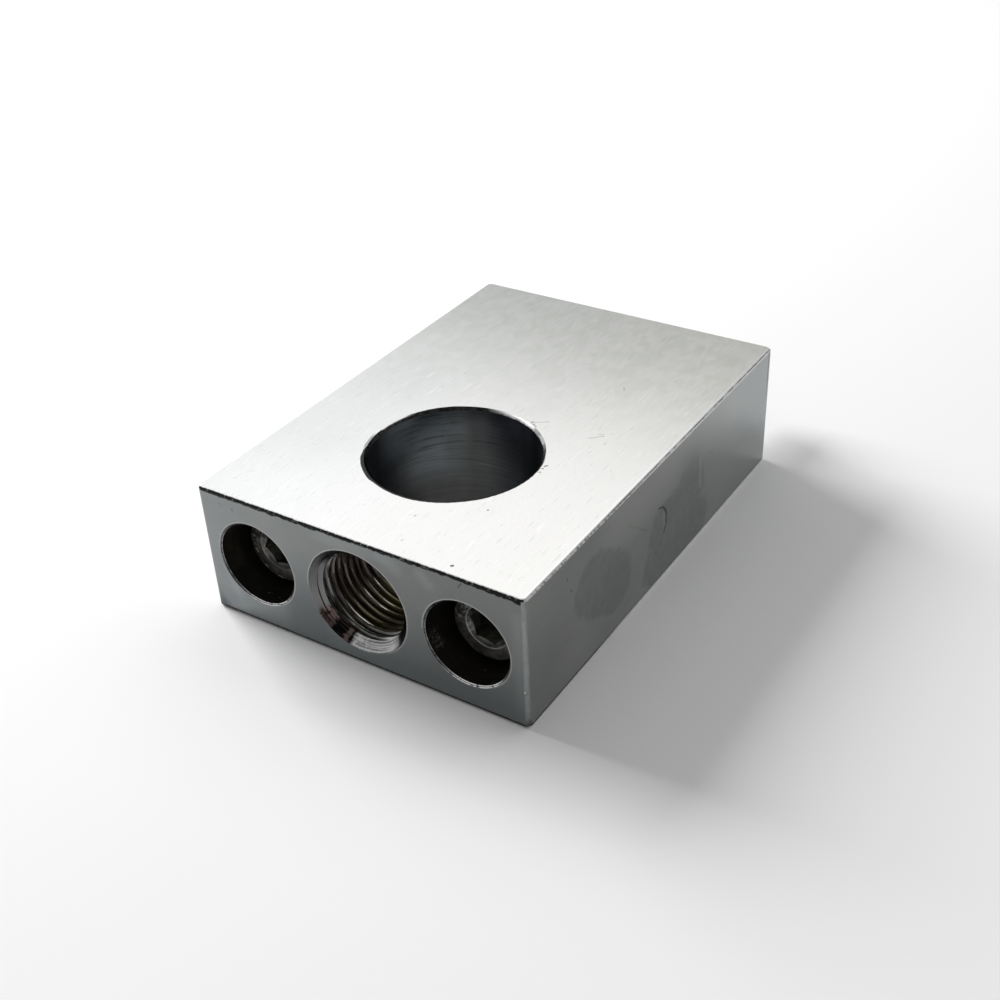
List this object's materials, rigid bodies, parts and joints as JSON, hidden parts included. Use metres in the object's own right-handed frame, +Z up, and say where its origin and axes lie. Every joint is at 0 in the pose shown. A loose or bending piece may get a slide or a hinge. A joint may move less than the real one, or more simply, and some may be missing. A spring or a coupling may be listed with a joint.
{
  "type": "mounting collar",
  "caption": "Ground steel block with a large shaft bore, a threaded port into it from the front face, and long socket head cap screws that fasten it by its back face.",
  "frame": {"origin": "where the shaft bore's axis crosses the threaded port's axis, at the block's mid-height", "axes": "+Z up the shaft bore, +Y from the front face with the port to the back face, +X to the right seen from the front"},
  "size_m": [0.064, 0.1035, 0.025],
  "materials": {
    "ground_steel": "ground top and underside, satin milled sides, dark reamed bore",
    "screw_steel": "dark oiled steel"
  },
  "bodies": {
    "root": {"collar_block": "ground_steel", "cap_screws": "screw_steel"}
  },
  "joints": []
}
